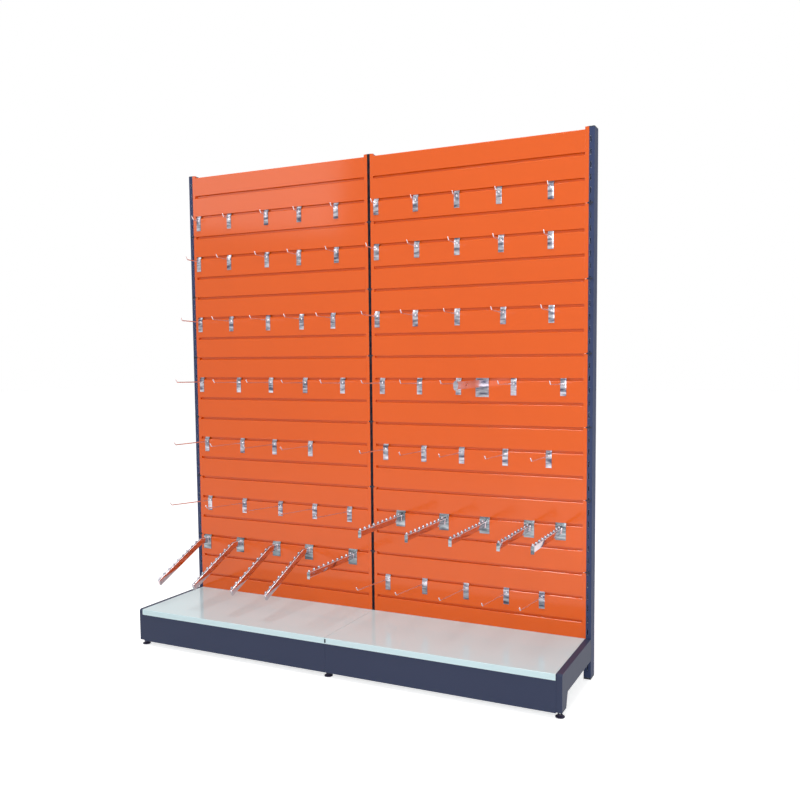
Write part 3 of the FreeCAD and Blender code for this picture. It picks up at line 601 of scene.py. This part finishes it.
def hook_rows():
    """Every row of hooks, each set out where its CAD solids hang."""
    for node in [n for n in SLOT_OF if "_hooks_" in n]:
        boxes = islands(node)
        first_low = boxes[0][0]
        rise = math.tan(LONG_RISE if node.endswith("_300") else SHORT_RISE)
        master = hook_mesh(node + "_one", SLAT_FACE - first_low.y, rise)
        edge = first_low.z + HANGER_DROP
        points = [((low.x + high.x) / 2, SLAT_FACE, edge) for low, high in boxes]
        mesh = run_tree(node + "_row", ROW_TREE, bare_mesh(node + "_points", points),
                        {"Piece": master, "Material": MATERIALS["hook_zinc"], "Wire Material": HOOK_WIRE})
        bpy.data.objects.remove(master)
        smooth(mesh)
        settle(to_object(node + "_row", mesh), node)


# ---------------------------------------------------------------- arms

def ball_row(name, count, start, step):
    """A bmesh of an arm's balls."""
    return tree_work(name, BALL_TREE, bare_mesh(name + "_seed", [(0, 0, 0)]), {
        "Count": count, "Start": start, "Step": step, "Radius": BALL / 2, "Material": BALL_ZINC})


def arm_place(node):
    """Where an arm hangs: its middle in X, the slat's face in Y, the slat's edge in Z."""
    low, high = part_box(node)
    return Vector(((low[0] + high[0]) / 2, SLAT_FACE, high[2] - FLANGE_TOP))


def weld(tall, drop):
    """A thin weld frame where a tube meets its plate."""
    spread, proud, sunk = 1.2 * MM, 1.5 * MM, 0.5 * MM
    bead = box_work((-ARM_WIDE / 2 - spread, PLATE_FRONT - proud, -tall / 2 - spread),
                    (ARM_WIDE / 2 + spread, PLATE_FRONT + sunk, tall / 2 + spread), 0.9 * MM)
    return shifted(bead, (0, 0, -drop))


def arm_joined(node, place, tubes, end, balls):
    """The arm as one piece: dull plates painted darker, a drawn tube with painted shade on its flat top
    and a painted highlight on its upper corners, grey balls.
    """
    plates = [hanger(ARM_PLATE_WIDE, rounding=0.8 * MM), end]
    # The arm plates take the zinc painted dark as a stand-in for a dark reflection.
    groups = [(ARM_PLATE_PAINTED_DARK, plates), (MATERIALS["arm_zinc"], tubes), (BALL_ZINC, [balls])]
    for _, works in groups:
        for work in works:
            shifted(work, place)
    arm = pieces_joined(node + "_made", groups)
    tube = finish_index(arm, MATERIALS["arm_zinc"])
    corner, top = finish_index(arm, PAINTED_HIGHLIGHT_ZINC), finish_index(arm, TUBE_TOP_PAINTED_SHADE)
    # By facing: upward corner rounds take the painted highlight, flat tops the painted shade.
    facing_up, leaning = 0.25, 0.2
    for face in arm.data.polygons:
        if face.material_index == tube and face.normal.z > facing_up:
            face.material_index = top if abs(face.normal.x) < leaning else corner
    settle(arm, node)


def level_arm(node):
    """A level tube with a plate on its end and balls along its top."""
    place = arm_place(node)
    reach = place.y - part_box(node)[0][1]
    top = LEVEL_TALL / 2 - LEVEL_DROP
    tube = box_work((-ARM_WIDE / 2, END_DEEP - reach, top - LEVEL_TALL), (ARM_WIDE / 2, PLATE_FRONT, top),
                    ARM_ROUND, 3)
    end = box_work((-END_WIDE / 2, -reach, top - END_TALL), (END_WIDE / 2, END_DEEP - reach, top),
                   1.2 * MM, 3)
    count = int((reach - FIRST_BALL - BALL) / LEVEL_PITCH) + 1
    balls = ball_row(node + "_balls", count, (0, FIRST_BALL - reach, top + BALL_LIFT), (0, LEVEL_PITCH, 0))
    arm_joined(node, place, [tube, weld(LEVEL_TALL, LEVEL_DROP)], end, balls)


def sloped_arm(node):
    """A tube that runs level from its plate, bends down and slopes, with balls along its slope."""
    flat, steep = math.cos(SLOPE), math.sin(SLOPE)
    half = SLOPED_TALL / 2
    mitre = half * math.tan(SLOPE / 2)
    far_y, far_z = -SLOPED_NECK - SLOPED_RUN * flat, -SLOPED_RUN * steep
    lean, rise = half * steep, half * flat
    corners = [
        (PLATE_FRONT, half), (-SLOPED_NECK - mitre, half), (far_y - lean, far_z + rise),
        (far_y + lean, far_z - rise), (-SLOPED_NECK + mitre, -half), (PLATE_FRONT, -half),
    ]
    tube = shifted(folded(corners, -ARM_WIDE / 2, ARM_WIDE / 2, ARM_ROUND, 3), (0, 0, -SLOPED_DROP))
    inset, proud, sunk, back = 1 * MM, 0.6 * MM, 2 * MM, 0.8 * MM
    plug = box_work((-ARM_WIDE / 2 + inset, -proud, -half + inset),
                    (ARM_WIDE / 2 - inset, sunk, half - inset), 0.5 * MM)
    bmesh.ops.rotate(plug, cent=(0, 0, 0), matrix=Matrix.Rotation(SLOPE, 3, "X"), verts=plug.verts)
    shifted(plug, (0, far_y + back, far_z - SLOPED_DROP))
    lowest = SLOPED_RUN - BALL
    start = (0, -SLOPED_NECK - lean - lowest * flat - BALL_LIFT * steep,
             rise - SLOPED_DROP - lowest * steep + BALL_LIFT * flat)
    count = int(lowest / SLOPED_PITCH) + 1
    balls = ball_row(node + "_balls", count, start, (0, SLOPED_PITCH * flat, SLOPED_PITCH * steep))
    arm_joined(node, arm_place(node), [tube, weld(SLOPED_TALL, SLOPED_DROP)], plug, balls)


def arms():
    """Four sloping arms and a level one in the left bay, five level ones in the right."""
    for index in range(1, 5):
        sloped_arm(f"left_ball_arm_{index}")
    level_arm("left_ball_arm_5")
    for index in range(1, 6):
        level_arm(f"right_ball_arm_{index}")


# ---------------------------------------------------------------- uprights and the rest

def upright(node):
    """The slotted tube with rounded corners.

    The slots of the outer two show bare metal along their cut edges. The front of the centre one,
    seen only as a gap between the bays, is made near-black as painted shade for the gap's shadow.
    """
    piece = rounded_copy(node, 0.8 * MM)
    # The uprights take the lighter blue with its painted reflection.
    piece.data.materials[0] = UPRIGHT_BLUE_PAINTED_REFLECTION
    bare, shaded = finish_index(piece, SLOT_EDGE), finish_index(piece, GAP_PAINTED_SHADE)
    low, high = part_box(node)
    middle = (low[0] + high[0]) / 2
    slot_reach, wall = 3.6 * MM, 1.9 * MM
    centre = node == "centre_upright"
    for face in piece.data.polygons:
        in_slot = abs(face.center.x - middle) < slot_reach and face.center.y < low[1] + wall
        if in_slot and abs(face.normal.y) < 0.95 and not centre:
            face.material_index = bare
        # Painted shade: the centre upright's front faces take the near-black coat for the gap's shadow.
        elif centre and face.normal.y < -0.5:
            face.material_index = shaded


def bar_arm(node):
    """The heavy arm: its plate, end cap and the bar between them each have their own zinc."""
    piece = rounded_copy(node, 1.5 * MM, 3, 40)
    piece.data.materials[0] = BAR_ZINC
    plate, cap = finish_index(piece, MATERIALS["hook_zinc"]), finish_index(piece, BALL_ZINC)
    plate_from = SLAT_FACE + PLATE_FRONT - 0.5 * MM
    cap_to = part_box(node)[0][1] + 6.5 * MM
    for face in piece.data.polygons:
        if face.center.y > plate_from:
            face.material_index = plate
        elif face.center.y < cap_to:
            face.material_index = cap


def joint_clip():
    """A small dark plastic clip where the lips of the two decks meet."""
    low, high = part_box("right_deck")
    wide, tall, below = 6.4 * MM, 17 * MM, 4 * MM
    proud, sunk = 0.9 * MM, 0.1 * MM
    chamfer_top, chamfer_low = 3 * MM, 2 * MM
    top, front = high[2] - below, low[1]
    corners = [(front - proud, top - tall + chamfer_low), (front + sunk, top - tall),
               (front + sunk, top), (front - proud, top - chamfer_top)]
    shape = folded(corners, low[0], low[0] + wide, 0.3 * MM)
    clip = pieces_joined("lip_joint_clip", [(MATERIALS["cap_black"], [shape])])
    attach(clip, BODY_OF["right_deck"])


def finish_all():
    """Every node's finished piece. The panels' folds are the finest, so they take the finest rounds."""
    hook_rows()
    arms()
    for node in SLOT_OF:
        if "_hooks_" in node or "_ball_arm_" in node:
            continue
        if node.endswith("_upright"):
            upright(node)
        elif "_panel_" in node:
            rounded_copy(node, 0.45 * MM, 3)
        elif node.endswith("_foot_pad") or node.endswith("_foot_stud"):
            rounded_copy(node, 0.5 * MM, 2, 40)
        elif node == "right_bar_arm":
            bar_arm(node)
        else:
            rounded_copy(node, 0.5 * MM)
    joint_clip()


finish_all()


# ---------------------------------------------------------------- stage, light and camera

FLOOR_REACH = 30.0            # half the floor's side
FLOOR_GREY = 0.86
FLOOR_GLOW = 0.68             # what the eye sees of the floor beyond its lit colour, so that it reads white
ROOM_LIGHT = 0.34             # strength of the white room as a light; the eye sees it at 1


def lamp(name, place, aim, size, watts):
    """A rectangular lamp that points at its aim."""
    data = bpy.data.lights.new(name, "AREA")
    data.shape = "RECTANGLE"
    data.size, data.size_y = size
    data.energy = watts
    light = to_object(name, data)
    light.location = place
    light.rotation_euler = (Vector(aim) - Vector(place)).to_track_quat("-Z", "Y").to_euler()


def seen_rays(tree):
    """1 for rays that the eye follows straight, in a mirror or through glass."""
    path = tree.nodes.new("ShaderNodeLightPath")
    both = maths(tree, "MAXIMUM", path.outputs["Is Camera Ray"], path.outputs["Is Glossy Ray"])
    return maths(tree, "MAXIMUM", both, path.outputs["Is Transmission Ray"])


def make_floor():
    """A pale floor that takes shadows from above and can be seen through from below."""
    mesh = bpy.data.meshes.new("floor")
    corners = [(x * FLOOR_REACH, y * FLOOR_REACH, 0) for x, y in ((-1, -1), (1, -1), (1, 1), (-1, 1))]
    mesh.from_pydata(corners, [], [(0, 1, 2, 3)])
    to_object("floor", mesh)
    material = bpy.data.materials.new("pale_floor")
    material.use_nodes = True
    tree = material.node_tree
    shader = tree.nodes["Principled BSDF"]
    shader.inputs["Base Color"].default_value = (FLOOR_GREY, FLOOR_GREY, FLOOR_GREY, 1)
    shader.inputs["Roughness"].default_value = 0.8
    shader.inputs["Emission Color"].default_value = (1, 1, 1, 1)
    tree.links.new(maths(tree, "MULTIPLY", seen_rays(tree), FLOOR_GLOW), shader.inputs["Emission Strength"])
    one_sided = tree.nodes.new("ShaderNodeMixShader")
    tree.links.new(tree.nodes.new("ShaderNodeNewGeometry").outputs["Backfacing"], one_sided.inputs[0])
    tree.links.new(shader.outputs["BSDF"], one_sided.inputs[1])
    tree.links.new(tree.nodes.new("ShaderNodeBsdfTransparent").outputs["BSDF"], one_sided.inputs[2])
    tree.links.new(one_sided.outputs["Shader"], tree.nodes["Material Output"].inputs["Surface"])
    mesh.materials.append(material)


def make_room():
    """A white room that the eye sees at full strength and the object is lit by more weakly."""
    world = bpy.data.worlds.new("studio")
    bpy.context.scene.world = world
    world.use_nodes = True
    tree = world.node_tree
    sky = tree.nodes["Background"]
    sky.inputs["Color"].default_value = (1, 1, 1, 1)
    extra = maths(tree, "MULTIPLY", seen_rays(tree), 1 - ROOM_LIGHT)
    tree.links.new(maths(tree, "ADD", extra, ROOM_LIGHT), sky.inputs["Strength"])


def make_camera():
    """At the viewing angle that suits the wall: from the right, a little above its middle."""
    data = bpy.data.cameras.new("camera")
    camera = to_object("camera", data)
    yaw, pitch, roll = math.radians(26.063), math.radians(-4.218), math.radians(-0.516)
    ahead = Vector((-math.sin(yaw) * math.cos(pitch), math.cos(yaw) * math.cos(pitch), math.sin(pitch)))
    right = Vector((math.cos(yaw), math.sin(yaw), 0))
    up = right.cross(ahead)
    right_rolled = right * math.cos(roll) + up * math.sin(roll)
    up_rolled = up * math.cos(roll) - right * math.sin(roll)
    turn = Matrix((right_rolled, up_rolled, -ahead)).transposed()
    eye = (1.8414, SLAT_FACE - 3.4613, 1.340)
    camera.matrix_world = Matrix.Translation(eye) @ turn.to_4x4()
    data.sensor_width = 36
    data.lens = 38.67
    data.shift_x = -0.0005
    data.shift_y = 0.0263
    data.clip_end = 100
    bpy.context.scene.camera = camera


make_floor()
make_room()
lamp("key", place=(2.3, -4.6, 2.2), aim=(0, 0.2, 1.1), size=(3.6, 3.2), watts=118)
lamp("fill", place=(-4.8, -5.6, 3.9), aim=(0, 0.2, 1.4), size=(2.4, 1.8), watts=24)
lamp("top", place=(0, -0.9, 7.0), aim=(0, -0.9, 0), size=(3.2, 2.2), watts=220)
make_camera()
bpy.context.scene.view_settings.view_transform = "Standard"
